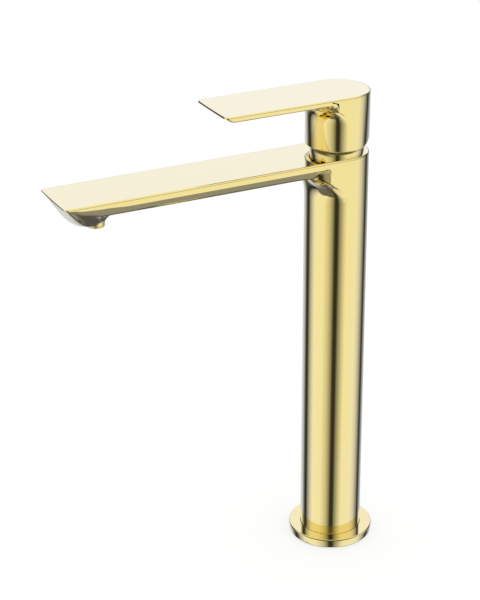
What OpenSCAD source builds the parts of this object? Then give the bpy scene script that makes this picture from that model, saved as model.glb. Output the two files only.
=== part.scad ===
// Tall single-lever basin mixer: round column, flat spout, flat lever on a round hub.
// Millimetres, +Z up. The origin is on the column's axis, on the surface of the deck.
// The spout and the lever point along -Y, so hot is at -X and cold at +X for the user.

/* [Body] */
// Outer diameter of the column, the hub and the spout's width
column_d = 40; // [39:0.5:42]
// Height of the column's top and the spout's top above the deck
body_h = 272; // [240:1:320]
// Wall of the column tube
column_wall = 2.5; // [2:0.1:2.6]
// Diameter of the base flange
flange_d = 55.4; // [52:0.2:62]
// Top of the base flange above the deck
flange_h = 6.5; // [5:0.1:8]

/* [Spout] */
// Reach of the spout's tip from the column's axis
spout_reach = 188.6; // [178:0.2:210]
// Reach of the water outlet from the column's axis
outlet_reach = 161.6; // [140:0.2:165]
// Depth of the outlet's rim below the spout's top
outlet_drop = 21.2; // [20:0.2:24]
// Thickness of the spout's thin side edge
edge_t = 4.2; // [3.5:0.1:4.5]
// Depth of the spout's keel below that edge
keel_t = 6.9; // [6.5:0.1:8]
// Outer diameter of the outlet's collar
outlet_d = 10.4; // [10:0.1:15]

/* [Lever] */
// Height of the lever's top above the deck, less the height of the column
lever_rise = 39.3; // [38:0.1:42]
// Height of the open neck between the column and the hub
neck_gap = 4.5; // [4.2:0.1:5]
// Reach of the lever's tip from the column's axis
lever_reach = 86.2; // [70:0.2:95]
// Thickness of the lever's plate
lever_t = 4.1; // [3.5:0.1:4.5]
// Largest lift of the lever, in degrees
lift_max = 25; // [10:1:25]
// Largest turn of the lever each way, in degrees
turn_max = 45; // [30:1:50]

/* [Fixing under the deck] */
// Thickness of the deck that the fixing is set to
deck_t = 30; // [5:1:40]
// Diameter of the fixing studs
stud_d = 6; // [5:1:6]
// Length of the studs below the deck's top
stud_drop = 58; // [50:1:70]

/* [Hidden] */
$fn = 96;
eps = 0.01;
column_r = column_d / 2;
column_in_r = column_r - column_wall;
column_foot = 0.8;

// spout
edge_z = body_h - edge_t;
keel_z = edge_z - keel_t;
keel_top_r = column_r - 2.6;
keel_low_r = column_r - 6.4;
tip_corner_r = 3;
tip_bow_r = 900;
edge_front = spout_reach - 1.8;
keel_front = spout_reach - 6.1;
root_cove_r = 12;
shoulder_y = 14.8;
shoulder_end = 30;
shoulder_drop = 13.1;
outlet_z = body_h - outlet_drop;
outlet_r = outlet_d / 2;
collar_h = 1.5;
collar_lip = 0.6;
collar_in_r = outlet_r - 1.4;
collar_thread_r = outlet_r - 0.9;
collar_len = 6;
seal_t = 1.5;
nose_z = outlet_z + collar_h;
nose_h = keel_z - nose_z;
nose_front = keel_front - outlet_reach - outlet_r;
nose_back = 8;
channel_w = 14;
channel_low = keel_z + 1.6;
channel_top = edge_z + 1.2;

// cartridge stack, from the pivot of the lever downwards
pivot_z = body_h - 4;
tail_len = 9.5;
ball_r = 2.2;
tail_r = 1.5;
stem_r = 3.4;
pin_r = 1.5;
pin_len = 19;
running = 0.06;
disc_t = 3;
carrier_top = pivot_z - tail_len + 1.7;
carrier_low = pivot_z - tail_len - 4;
moving_low = carrier_low - disc_t;
fixed_low = moving_low - disc_t;
base_low = fixed_low - 4;
block_low = base_low - 8.5;
housing_r = 14;
chamber_r = 12;
fixed_r = chamber_r;
moving_r = 7.5;
guide_r = 10;
guide_low = carrier_top + 0.4;
guide_flange_t = 1.4;
guide_flange_r = 11.4;
guide_top = pivot_z + 7;
guide_slot = [7.4, 15.6];
shoulder_z = pivot_z - 0.2;
housing_neck_r = 12;
housing_top = body_h;
nut_h = 3.2;
port_x = 5.6;
port_r = 2.5;
mix_port_y = -7;
lug_half = 10;

// neck cover, a ball shape round the pivot
neck_r = column_r - 3;
dome_r = 19.2;
dome_hole_r = 13;
cover_wall = 1.4;
cover_foot = 1;

// lever and hub
lever_z = body_h + lever_rise;
hub_low = body_h + neck_gap;
plate_z = lever_z - lever_t;
hub_in_r = column_r - 2.2;
cavity_top = lever_z - 5.4;
lift_gap = 0.5;
lever_corner_r = 3;
lever_bow_r = 600;
hub_cove_r = 9;
socket_r = 7.5;
socket_low = pivot_z + 22;
stem_sq = 6.4;
stem_top = cavity_top - 2;
screw_z = pivot_z + 28;
screw_r = 2.5;
cap_t = 1.6;

// supply and base
tube_r = 3.2;
tube_wall = 0.8;
plug_low = 1.5;
plug_top = 14;
inlet_r = 3.5;
inlet_len = 10;
gasket_in_r = 18;
gasket_r = flange_d / 2 - 1.7;
ring_r = 0.9;

// fixing kit
stud_y = 13;
stud_r = stud_d / 2;
stud_top = plug_top - 2;
shoe_r = 26;
shoe_slot = 14;
rubber_t = 3;
plate_t = 2;
nut_af = 10;
fix_nut_h = 5;

// colours
gold = [0.87, 0.76, 0.45];
steel = [0.72, 0.73, 0.74];
brass = [0.78, 0.62, 0.32];
copper = [0.76, 0.47, 0.32];
rubber = [0.12, 0.12, 0.13];
plastic = [0.86, 0.87, 0.88];
ceramic = [0.93, 0.92, 0.88];
black_plastic = [0.16, 0.16, 0.18];

// ---- helpers ----

// a tube standing on z
module tube(r, r_in, z, h) {
    translate([0, 0, z]) difference() {
        cylinder(r = r, h = h);
        translate([0, 0, -1]) cylinder(r = r_in, h = h + 2);
    }
}

// a solid ring of round section, flattened where it is squeezed
module seal_ring(r_mid, r_cord, z) {
    translate([0, 0, z]) rotate_extrude() translate([r_mid, 0]) circle(r = r_cord, $fn = 24);
}

// a block from one corner to the other
module block(low, high) {
    translate(low) cube(high - low);
}

// a cylinder along X or Y, centred on a point
module rod_x(r, len, p) {
    translate(p) rotate([0, 90, 0]) cylinder(r = r, h = len, center = true);
}
module rod_y(r, len, p) {
    translate(p) rotate([90, 0, 0]) cylinder(r = r, h = len, center = true);
}

// a flat tongue seen from above: round at the column's axis, soft corners at the tip,
// and a tip that is slightly bowed
module tongue(half_w, reach, corner_r, bow_r) {
    intersection() {
        union() {
            translate([-half_w, -reach + corner_r])
                square([2 * half_w, reach - corner_r]);
            translate([-half_w + corner_r, -reach])
                square([2 * (half_w - corner_r), corner_r]);
            for (side = [-1, 1])
                translate([side * (half_w - corner_r), -reach + corner_r])
                    circle(r = corner_r);
        }
        translate([0, -reach + bow_r]) circle(r = bow_r + eps, $fn = 200);
    }
}

// a concave ring of radius cove round a post, from its foot up to a ceiling
module cove_ring(post_r, cove, ceiling) {
    translate([0, 0, ceiling - cove]) rotate_extrude() difference() {
        translate([post_r - 1, 0]) square([cove + 1, cove]);
        translate([post_r + cove, 0]) circle(r = cove);
    }
}

// a prism across the whole width; its points are [distance in front of the axis, height]
module side_profile(points) {
    rotate([90, 0, -90]) translate([0, 0, -column_r]) linear_extrude(column_d) polygon(points);
}

// ---- the body ----

module column() {
    color(gold) difference() {
        tube(column_r, column_in_r, column_foot, body_h - column_foot);
        block([-6, -column_r - 1, channel_low + 0.4], [6, 0, channel_top - 1.4]);
    }
}

// the keel: sides lean in, and its front leans back under the tip
module keel() {
    intersection() {
        rotate([90, 0, 0]) linear_extrude(spout_reach) polygon([
            [-keel_top_r, edge_z + eps], [-keel_low_r, keel_z],
            [keel_low_r, keel_z], [keel_top_r, edge_z + eps]
        ]);
        side_profile([
            [0, edge_z + eps], [edge_front, edge_z + eps], [keel_front, keel_z], [0, keel_z]
        ]);
    }
}

// the nose: narrows from the keel down to the outlet, full in front and hollow behind
module nose() {
    front = outlet_reach + outlet_r;
    back = outlet_reach - outlet_r;
    intersection() {
        rotate([90, 0, 0]) linear_extrude(spout_reach) polygon([
            [-outlet_r, nose_z], [outlet_r, nose_z],
            [keel_low_r, keel_z + eps], [-keel_low_r, keel_z + eps]
        ]);
        side_profile([
            [back, nose_z], [front, nose_z],
            [front + 0.4 * nose_front, nose_z + 0.1 * nose_h],
            [front + 0.7 * nose_front, nose_z + 0.43 * nose_h],
            [keel_front, keel_z + eps], [back - nose_back, keel_z + eps],
            [back - 0.5 * nose_back, nose_z + 0.68 * nose_h],
            [back - 0.15 * nose_back, nose_z + 0.28 * nose_h]
        ]);
        // it is round where it meets the collar
        translate([0, -outlet_reach, nose_z]) rotate_extrude() polygon([
            [0, 0], [outlet_r, 0],
            [outlet_r + 0.4 * nose_front, 0.1 * nose_h],
            [outlet_r + 0.8 * nose_front, 0.45 * nose_h],
            [outlet_r + 1.4 * nose_front, nose_h + 1], [0, nose_h + 1]
        ]);
    }
}

// the shoulders: the spout widens to the column's width at its root
module shoulders() {
    end_r = keel_low_r + 1;
    intersection() {
        translate([0, 0, edge_z - shoulder_drop - keel_t]) linear_extrude(shoulder_drop + keel_t + eps)
            polygon([
                [-column_r, 0], [-column_r, -shoulder_y], [-end_r, -shoulder_end],
                [end_r, -shoulder_end], [column_r, -shoulder_y], [column_r, 0]
            ]);
        side_profile([
            [0, edge_z + eps], [shoulder_end, edge_z + eps], [shoulder_end, keel_z],
            [shoulder_y, keel_z - 2.9], [0, keel_z - shoulder_drop]
        ]);
    }
}

// the solid shape of the spout before its water channel is cut
module spout_form() {
    translate([0, 0, edge_z]) linear_extrude(edge_t)
        tongue(column_r, spout_reach, tip_corner_r, tip_bow_r);
    keel();
    nose();
    shoulders();
    // the hollow curve between the keel and the column
    intersection() {
        cove_ring(column_r, root_cove_r, keel_z + eps);
        block([-keel_low_r, -column_r - root_cove_r, keel_z - root_cove_r],
              [keel_low_r, -1, keel_z + eps]);
    }
}

module spout() {
    color(gold) difference() {
        spout_form();
        // it butts against the round of the column
        translate([0, 0, keel_z - shoulder_drop - 1])
            cylinder(r = column_r, h = shoulder_drop + keel_t + edge_t + 2);
        block([-column_r - 1, -4, 0], [column_r + 1, 4, body_h + 1]);
        // water channel and the seat of the aerator
        block([-channel_w / 2, -outlet_reach - 4, channel_low],
              [channel_w / 2, 0, channel_top - 1]);
        translate([0, -outlet_reach, outlet_z]) {
            cylinder(r = collar_thread_r, h = collar_len + seal_t);
            cylinder(r = collar_in_r, h = channel_low - outlet_z + 1);
        }
    }
}

module base_flange() {
    color(gold) difference() {
        rotate_extrude() polygon([
            [column_r, column_foot - 0.3], [flange_d / 2 - 1, column_foot - 0.3],
            [flange_d / 2 - 0.6, column_foot], [flange_d / 2, flange_h - 0.7],
            [flange_d / 2 - 0.5, flange_h], [column_r, flange_h]
        ]);
        // seat of the gasket, and groove of the ring seal
        translate([0, 0, -1]) cylinder(r = gasket_r, h = 1 + column_foot);
        tube(column_r + 2 * ring_r, column_r - 1, 3 - ring_r, 2 * ring_r);
    }
}

module flange_ring() {
    color(rubber) seal_ring(column_r + ring_r, ring_r - 0.02, 3);
}

module base_gasket() {
    color(rubber) tube(gasket_r, gasket_in_r, 0, column_foot);
}

module base_plug() {
    color(brass) difference() {
        translate([0, 0, plug_low]) cylinder(r = column_in_r, h = plug_top - plug_low);
        for (side = [-1, 1]) {
            translate([side * port_x, 0, plug_low - 1]) cylinder(r = inlet_r, h = inlet_len + 1);
            translate([side * port_x, 0, plug_low]) cylinder(r = tube_r, h = plug_top);
            translate([0, side * stud_y, plug_low - 1])
                cylinder(r = stud_r, h = stud_top - plug_low + 1);
        }
    }
}

module supply_tube(side) {
    color(copper) translate([side * port_x, 0, 0])
        tube(tube_r, tube_r - tube_wall, plug_low + inlet_len, block_low + 4 - plug_low - inlet_len);
}
module hot_tube() { supply_tube(-1); }
module cold_tube() { supply_tube(1); }

// ---- the valve ----

module valve_block() {
    color(brass) difference() {
        translate([0, 0, block_low]) cylinder(r = column_in_r, h = shoulder_z - block_low);
        translate([0, 0, base_low]) cylinder(r = housing_r, h = shoulder_z);
        for (side = [-1, 1]) translate([side * port_x, 0, block_low - 1]) {
            cylinder(r = port_r - 0.1, h = 20);
            cylinder(r = tube_r, h = 5);
        }
        // the mixed water drops through its port, then rises in a slot at the front
        translate([0, mix_port_y, block_low + 3]) cylinder(r = port_r, h = 20);
        block([-port_r, -column_r, block_low + 3], [port_r, mix_port_y, block_low + 6]);
        block([-5, -column_r, block_low + 3], [5, -housing_r - 0.8, shoulder_z - 0.4]);
    }
}

// three seals between the valve block and the cartridge
module port_seals() {
    color(rubber) for (p = [[-port_x, 0], [port_x, 0], [0, mix_port_y]])
        translate([p[0], p[1], 0]) tube(port_r + 0.8, port_r, base_low, 1);
}

module cartridge_base() {
    color(black_plastic) difference() {
        translate([0, 0, base_low]) cylinder(r = housing_r, h = fixed_low - base_low);
        for (p = [[-port_x, 0], [port_x, 0], [0, mix_port_y]])
            translate([p[0], p[1], base_low - 1]) {
                cylinder(r = port_r - 0.3, h = 10);
                cylinder(r = port_r + 0.8, h = 2);
            }
    }
}

module cartridge_housing() {
    color(plastic) difference() {
        union() {
            translate([0, 0, fixed_low]) cylinder(r = housing_r, h = shoulder_z - fixed_low);
            translate([0, 0, fixed_low])
                cylinder(r = housing_neck_r, h = housing_top - fixed_low);
        }
        translate([0, 0, fixed_low - 1])
            cylinder(r = chamber_r, h = guide_low + guide_flange_t + 0.2 - fixed_low + 1);
        translate([0, 0, fixed_low]) cylinder(r = guide_r + running, h = 60);
        // groove of the ring seal
        tube(housing_r + 1, housing_r - 1.2, fixed_low + 4, 2);
    }
}

module housing_ring() {
    color(rubber) tube(housing_r, housing_r - 1.2, fixed_low + 4.2, 1.6);
}

module fixed_disc() {
    color(ceramic) difference() {
        translate([0, 0, fixed_low]) cylinder(r = fixed_r, h = disc_t);
        for (side = [-1, 1]) translate([side * port_x, 0, fixed_low - 1]) cylinder(r = 2, h = 9);
        translate([0, mix_port_y, fixed_low - 1]) cylinder(r = port_r - 0.3, h = 9);
    }
}

// the moving disc has a blind pocket that joins the ports when the lever is lifted
module moving_disc() {
    color(ceramic) difference() {
        translate([0, 0, moving_low]) cylinder(r = moving_r, h = disc_t - 0.02);
        translate([0, 0, moving_low - 1]) cylinder(r = 4, h = 2.4);
    }
}

module disc_carrier() {
    color(black_plastic) difference() {
        translate([0, 0, carrier_low - 0.02])
            cylinder(r = moving_r, h = carrier_top - carrier_low + 0.02);
        translate([0, 0, carrier_low + 1.4]) cylinder(r = ball_r + 0.15, h = 10);
    }
}

module turn_guide() {
    color(plastic) difference() {
        union() {
            translate([0, 0, guide_low]) cylinder(r = guide_r, h = guide_top - guide_low);
            translate([0, 0, guide_low]) cylinder(r = guide_flange_r, h = guide_flange_t);
            // the lug that meets the stops
            translate([0, 0, housing_top + 0.4]) intersection() {
                cylinder(r = guide_r + 2, h = guide_top - housing_top - 0.4);
                translate([-1.8, -guide_r - 3, 0]) cube([3.6, guide_r, 10]);
            }
        }
        block([-guide_slot[0] / 2, -guide_slot[1] / 2, guide_low - 1],
              [guide_slot[0] / 2, guide_slot[1] / 2, guide_top + 1]);
        rod_x(pin_r, 2 * guide_r, [0, 0, pivot_z]);
    }
}

module pivot_pin() {
    color(steel) rod_x(pin_r, pin_len, [0, 0, pivot_z]);
}

// the stem: ball end, thin tail, round middle with the pin's bore, square head
module stem() {
    color(brass) difference() {
        union() {
            translate([0, 0, pivot_z - tail_len]) sphere(r = ball_r);
            translate([0, 0, pivot_z - tail_len]) cylinder(r = tail_r, h = tail_len);
            translate([0, 0, pivot_z - 3.2]) cylinder(r = stem_r, h = socket_low - pivot_z + 3);
            block([-stem_sq / 2, -stem_sq / 2, socket_low - 2], [stem_sq / 2, stem_sq / 2, stem_top]);
        }
        rod_x(pin_r + running, 12, [0, 0, pivot_z]);
    }
}

// the stop ring: its wide opening lets the guide's lug turn, its ends stop it
module stop_ring() {
    stop = turn_max + lug_half + 1;
    color(black_plastic) translate([0, 0, housing_top]) difference() {
        cylinder(r = guide_r + 4.2, h = 2.8);
        translate([0, 0, -1]) cylinder(r = guide_r + 0.3, h = 5);
        intersection() {
            translate([0, 0, -1]) cylinder(r = guide_r + 2.4, h = 5);
            translate([0, 0, -1]) linear_extrude(5) polygon([
                [0, 0], for (a = [-stop, -stop / 2, 0, stop / 2, stop])
                    [30 * sin(a), -30 * cos(a)]
            ]);
        }
    }
}

module cartridge_nut() {
    color(brass) difference() {
        translate([0, 0, shoulder_z]) cylinder(r = column_in_r, h = nut_h);
        translate([0, 0, shoulder_z - 1]) cylinder(r = housing_neck_r, h = nut_h + 2);
        for (a = [45 : 90 : 315]) rotate(a)
            block([column_in_r - 2.4, -1.5, shoulder_z + 1.4],
                  [column_in_r - 0.8, 1.5, shoulder_z + nut_h + 1]);
    }
}

module neck_cover() {
    color(gold) difference() {
        union() {
            translate([0, 0, body_h - cover_foot]) cylinder(r = column_in_r, h = cover_foot);
            translate([0, 0, pivot_z]) intersection() {
                sphere(r = dome_r, $fn = 128);
                translate([0, 0, body_h - pivot_z - cover_foot]) cylinder(r = neck_r, h = 30);
            }
        }
        translate([0, 0, body_h - 2]) cylinder(r = neck_r - cover_wall, h = 4);
        translate([0, 0, pivot_z]) intersection() {
            sphere(r = dome_r - cover_wall, $fn = 128);
            translate([0, 0, body_h - pivot_z]) cylinder(r = neck_r - cover_wall, h = 30);
        }
        translate([0, 0, body_h]) cylinder(r = dome_hole_r, h = 30);
    }
}

// ---- the lever ----

module lever() {
    // the underside at the back slopes up, so that the hub clears the column when lifted
    cut_y = ((hub_low - pivot_z) * cos(lift_max) - (body_h + lift_gap - pivot_z)) / sin(lift_max);
    cut_rise = (column_r + 2 - cut_y) * tan(lift_max);
    color(gold) difference() {
        union() {
            translate([0, 0, hub_low]) cylinder(r = column_r, h = lever_z - hub_low);
            translate([0, 0, plate_z]) linear_extrude(lever_t)
                tongue(column_r, lever_reach, lever_corner_r, lever_bow_r);
            intersection() {
                cove_ring(column_r, hub_cove_r, plate_z + eps);
                block([-column_r + 5, -column_r - hub_cove_r, plate_z - hub_cove_r],
                      [column_r - 5, -1, plate_z + eps]);
            }
        }
        difference() {
            translate([0, 0, hub_low - 1]) cylinder(r = hub_in_r, h = cavity_top - hub_low + 1);
            translate([0, 0, socket_low]) cylinder(r = socket_r, h = 40);
            rod_y(screw_r + 2, column_r, [0, column_r / 2, screw_z]);
        }
        block([-stem_sq / 2, -stem_sq / 2, socket_low - 1], [stem_sq / 2, stem_sq / 2, stem_top]);
        rod_y(screw_r, column_r, [0, stem_sq / 2 + column_r / 2, screw_z]);
        rod_y(screw_r + 0.6, 2 * cap_t, [0, column_r, screw_z]);
        rotate([90, 0, -90]) translate([0, 0, -column_r - 1]) linear_extrude(column_d + 2) polygon([
            [-cut_y, hub_low - eps], [-column_r - 2, hub_low - eps],
            [-column_r - 2, hub_low + cut_rise]
        ]);
    }
}

module set_screw() {
    color(steel) difference() {
        rod_y(screw_r, 7, [0, stem_sq / 2 + 3.5, screw_z]);
        translate([0, stem_sq / 2 + 7 - 2.5, screw_z]) rotate([-90, 0, 0])
            cylinder(r = 1.4, h = 3, $fn = 6);
    }
}

module screw_cap() {
    color(gold) intersection() {
        rod_y(screw_r + 0.6, 2 * cap_t, [0, column_r, screw_z]);
        translate([0, 0, screw_z - 5]) cylinder(r = column_r, h = 10);
    }
}

// ---- the outlet ----

module aerator_collar() {
    color(gold) translate([0, -outlet_reach, outlet_z]) difference() {
        union() {
            cylinder(r = outlet_r, h = collar_h);
            cylinder(r = collar_thread_r, h = collar_len);
        }
        translate([0, 0, -1]) cylinder(r = collar_in_r - collar_lip, h = collar_len);
        translate([0, 0, 1]) cylinder(r = collar_in_r, h = collar_len);
    }
}

// a plastic core with a grid of small square ways through it
module aerator_insert() {
    pitch = 1.5;
    way = 1;
    color(plastic) translate([0, -outlet_reach, outlet_z]) difference() {
        translate([0, 0, 1]) cylinder(r = collar_in_r, h = collar_len - 1);
        for (i = [-2 : 2], j = [-2 : 2]) if (norm([i, j]) * pitch < collar_in_r - way - 0.3)
            translate([i * pitch - way / 2, j * pitch - way / 2, 0])
                cube([way, way, collar_len + 1]);
    }
}

module aerator_seal() {
    color(rubber) translate([0, -outlet_reach, 0])
        tube(collar_thread_r, collar_in_r - 0.9, outlet_z + collar_len, seal_t);
}

// ---- under the deck ----

module studs() {
    color(steel) for (side = [-1, 1])
        translate([0, side * stud_y, -stud_drop]) cylinder(r = stud_r, h = stud_top + stud_drop);
}

// a flat shoe with a slot that lets the supply hoses in from the side
module shoe(z, h) {
    difference() {
        translate([0, 0, z]) cylinder(r = shoe_r, h = h);
        for (side = [-1, 1]) translate([0, side * stud_y, z - 1])
            cylinder(r = stud_r + 0.3, h = h + 2);
        block([0, -shoe_slot / 2, z - 1], [shoe_r + 1, shoe_slot / 2, z + h + 1]);
        translate([0, 0, z - 1]) intersection() {
            cylinder(r = 13, h = h + 2);
            translate([-14, -shoe_slot / 2, 0]) cube([20, shoe_slot, h + 2]);
        }
    }
}

module fixing_washer() { color(rubber) shoe(-deck_t - rubber_t, rubber_t); }
module fixing_plate() { color(steel) shoe(-deck_t - rubber_t - plate_t, plate_t); }

module stud_nuts() {
    top = -deck_t - rubber_t - plate_t;
    color(brass) for (side = [-1, 1]) translate([0, side * stud_y, top - fix_nut_h]) difference() {
        cylinder(r = nut_af / sqrt(3), h = fix_nut_h, $fn = 6);
        translate([0, 0, -1]) cylinder(r = stud_r, h = fix_nut_h + 2);
    }
}

column();
spout();
base_flange();
flange_ring();
base_gasket();
base_plug();
hot_tube();
cold_tube();
valve_block();
port_seals();
cartridge_base();
cartridge_housing();
housing_ring();
fixed_disc();
moving_disc();
disc_carrier();
turn_guide();
pivot_pin();
stem();
stop_ring();
cartridge_nut();
neck_cover();
lever();
set_screw();
screw_cap();
aerator_collar();
aerator_insert();
aerator_seal();
studs();
fixing_washer();
fixing_plate();
stud_nuts();
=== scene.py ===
"""Looks of a tall single-lever basin mixer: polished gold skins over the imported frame.

Sizes are in millimetres until a mesh is finished, then in metres. The frame's origin is on the
column's axis at the deck's surface. The spout and the lever point along -Y, +Z is up.
"""

import logging
import math
from dataclasses import dataclass, field, replace
from enum import Enum
from typing import Callable, Iterable, Sequence

import bmesh
import bpy
from mathutils import Matrix, Vector


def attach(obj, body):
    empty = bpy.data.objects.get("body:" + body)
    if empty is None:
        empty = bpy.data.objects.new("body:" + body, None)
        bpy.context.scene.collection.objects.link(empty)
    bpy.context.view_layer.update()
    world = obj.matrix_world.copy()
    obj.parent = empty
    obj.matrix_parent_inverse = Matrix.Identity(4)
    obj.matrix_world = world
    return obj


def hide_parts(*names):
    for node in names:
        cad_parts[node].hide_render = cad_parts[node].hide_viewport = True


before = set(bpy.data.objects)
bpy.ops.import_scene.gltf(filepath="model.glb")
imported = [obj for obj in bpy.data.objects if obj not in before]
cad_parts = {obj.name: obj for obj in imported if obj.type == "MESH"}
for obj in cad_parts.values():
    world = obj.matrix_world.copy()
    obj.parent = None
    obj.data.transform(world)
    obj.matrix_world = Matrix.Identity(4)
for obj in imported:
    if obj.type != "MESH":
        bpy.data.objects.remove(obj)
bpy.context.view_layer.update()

LOG = logging.getLogger("mixer")
MM = 0.001
# lengths in millimetres: points that become one, edges that are dropped, points that are one
MERGE = 2e-4
SPECK = 1e-4
TOUCH = 1e-6

Point = tuple[float, float, float]
Flat = tuple[float, float]
Shell = bmesh.types.BMesh
Edges = list[bmesh.types.BMEdge]
Tree = bpy.types.NodeTree
Socket = bpy.types.NodeSocket
Material = bpy.types.Material

# sizes that more than one piece shares
POST_R = 20.0  # the column and the hub
BODY_TOP = 272.0  # the top of the spout and of the column's head
HEAD_LOW = 268.2  # where the column's tube ends and the spout's head begins
LEVER_TOP = 311.3
NECK_R = 17.0
OUTLET_Y = -161.6
OUTLET_R = 5.2


class Body(Enum):
    """The moving groups of the frame that new pieces ride on."""

    BODY = "body"
    HANDLE = "handle"


class Slot(Enum):
    """The material slots of the record."""

    GOLD = "gold"
    RUBBER = "black_rubber"
    BRASS = "plain_brass"
    COPPER = "copper_tube"
    BLACK = "black_plastic"
    WHITE = "white_plastic"
    CERAMIC = "white_ceramic"
    STEEL = "steel"


# ---- curves and meshes ----


def smooth_step(low: float, high: float, value: float) -> float:
    """Rises from 0 at low to 1 at high with level ends."""
    t = min(1.0, max(0.0, (value - low) / (high - low)))
    return t * t * (3 - 2 * t)


def through(stations: Sequence[float], t: float) -> float:
    """A smooth curve through evenly spaced stations.

    Args:
        stations: values at t = 0, 1, 2, ...
        t: where to read the curve.

    Returns:
        The value at t, on a Catmull-Rom curve that never runs past its two neighbours.
    """
    last = len(stations) - 1
    i = min(int(t), last - 1)
    f = t - i
    a, b = stations[i], stations[i + 1]

    def slope(k: int) -> float:
        """Slope at a station, level where the values turn.

        Args:
            k: the station.

        Returns:
            The change of value for one station.
        """
        if k in (0, last):
            j = min(k, last - 1)
            return stations[j + 1] - stations[j]
        left, right = stations[k] - stations[k - 1], stations[k + 1] - stations[k]
        return 0.0 if left * right <= 0 else 2 * left * right / (left + right)

    m0, m1 = slope(i), slope(i + 1)
    return (
        (2 * f**3 - 3 * f**2 + 1) * a
        + (f**3 - 2 * f**2 + f) * m0
        + (3 * f**2 - 2 * f**3) * b
        + (f**3 - f**2) * m1
    )


def arc(centre: Flat, radius: float, start: float, end: float, steps: int) -> list[Flat]:
    """Points of an arc, both ends included; angles in degrees."""
    turn = [math.radians(start + (end - start) * i / steps) for i in range(steps + 1)]
    return [(centre[0] + radius * math.cos(a), centre[1] + radius * math.sin(a)) for a in turn]


def revolve(profile: Sequence[Flat], steps: int, centre: Flat = (0.0, 0.0)) -> Shell:
    """Spins a closed profile round a vertical axis.

    Args:
        profile: (radius, height) pairs in millimetres, a closed loop or a line between poles.
        steps: number of steps round.
        centre: where the axis stands.

    Returns:
        The closed mesh, in millimetres.
    """
    bm = bmesh.new()
    verts = [bm.verts.new((centre[0] + r, centre[1], z)) for r, z in profile]
    closed = all(r > 0 for r, _ in profile)
    pairs = list(zip(verts, verts[1:])) + ([(verts[-1], verts[0])] if closed else [])
    edges = [bm.edges.new(p) for p in pairs]
    bmesh.ops.spin(
        bm, geom=verts + edges, cent=(*centre, 0.0), axis=(0, 0, 1), dvec=(0, 0, 0),
        angle=2 * math.pi, steps=steps, use_merge=True, use_duplicate=False,
    )
    bmesh.ops.remove_doubles(bm, verts=bm.verts, dist=SPECK)
    bmesh.ops.recalc_face_normals(bm, faces=bm.faces)
    return bm


def skin(bm: Shell, across: int, along: int, place: Callable[[float, float], Point]) -> None:
    """Adds a grid and moves each of its points to where a surface has it.

    Args:
        bm: the mesh that receives the grid.
        across: cells in the first direction.
        along: cells in the second direction.
        place: gives the point at (u, v), both from 0 to 1.
    """
    half = 0.5
    grid = bmesh.ops.create_grid(bm, x_segments=across, y_segments=along, size=half)
    for v in grid["verts"]:
        v.co = place(min(1.0, max(0.0, v.co.x + half)), min(1.0, max(0.0, v.co.y + half)))


def rounded(profile: Sequence[Flat], radii: Sequence[float], steps: int = 5) -> list[Flat]:
    """Rounds the corners of a closed profile.

    Args:
        profile: corners in order.
        radii: the rounding at each corner; 0 keeps it sharp.
        steps: steps of each rounding.

    Returns:
        The new loop of points.
    """
    out: list[Flat] = []
    n = len(profile)
    for i, (corner, r) in enumerate(zip(profile, radii)):
        p, a, b = Vector(corner), Vector(profile[i - 1]), Vector(profile[(i + 1) % n])
        if r <= 0:
            out.append(tuple(p))
            continue
        ua, ub = (a - p).normalized(), (b - p).normalized()
        half = ua.angle(ub) / 2
        reach = r / math.tan(half)
        centre = p + (ua + ub).normalized() * (r / math.sin(half))
        first, last = p + ua * reach - centre, p + ub * reach - centre
        sweep = first.angle_signed(last)
        for k in range(steps + 1):
            turn = -sweep * k / steps
            out.append(tuple(centre + Matrix.Rotation(turn, 2) @ first))
    return out


def harden(mesh: bpy.types.Mesh) -> None:
    """Keeps flat faces flat up to their rounded edges, and sharp edges sharp.

    Args:
        mesh: a finished mesh.
    """
    sharp_turn = math.radians(34.0)
    square, near = 0.999999, 0.77  # cosines: a face square to an axis, normals that may join
    mesh.polygons.foreach_set("use_smooth", [True] * len(mesh.polygons))
    mesh.set_sharp_from_angle(angle=sharp_turn)
    flat: dict[int, Vector] = {}
    for face in mesh.polygons:
        if max(abs(c) for c in face.normal) > square:
            for v in face.vertices:
                flat.setdefault(v, face.normal.copy())
    normals = [Vector(c.vector) for c in mesh.corner_normals]
    for face in mesh.polygons:
        own = max(abs(c) for c in face.normal) > square
        for loop, v in zip(face.loop_indices, face.vertices):
            if own:
                normals[loop] = face.normal.copy()
            elif v in flat and flat[v].dot(normals[loop]) > near:
                normals[loop] = flat[v]
    mesh.normals_split_custom_set([tuple(n) for n in normals])


def piece(name: str, bm: Shell, body: Body, finish: Material,
          replaces: Iterable[str]) -> None:
    """Turns a mesh in millimetres into a dressed piece that rides on its body.

    Args:
        name: the piece's name.
        bm: its mesh, freed here.
        body: the body that it rides on.
        finish: its material.
        replaces: CAD nodes that it stands for.
    """
    bmesh.ops.scale(bm, vec=(MM, MM, MM), verts=bm.verts)
    mesh = bpy.data.meshes.new(name)
    bm.to_mesh(mesh)
    bm.free()
    harden(mesh)
    obj = bpy.data.objects.new(name, mesh)
    bpy.context.scene.collection.objects.link(obj)
    mesh.materials.append(finish)
    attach(obj, body.value)
    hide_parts(*replaces)
    LOG.info("%s: %d faces on %s", name, len(mesh.polygons), body.value)


# ---- finishes ----


def graph(material: Material) -> tuple[Tree, bpy.types.Node]:
    """Empties a material's nodes and wires a Principled shader to its output.

    Args:
        material: the material.

    Returns:
        Its node tree, and the shader.
    """
    material.use_nodes = True
    tree = material.node_tree
    tree.nodes.clear()
    out = tree.nodes.new("ShaderNodeOutputMaterial")
    shader = tree.nodes.new("ShaderNodeBsdfPrincipled")
    tree.links.new(shader.outputs["BSDF"], out.inputs["Surface"])
    return tree, shader


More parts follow.
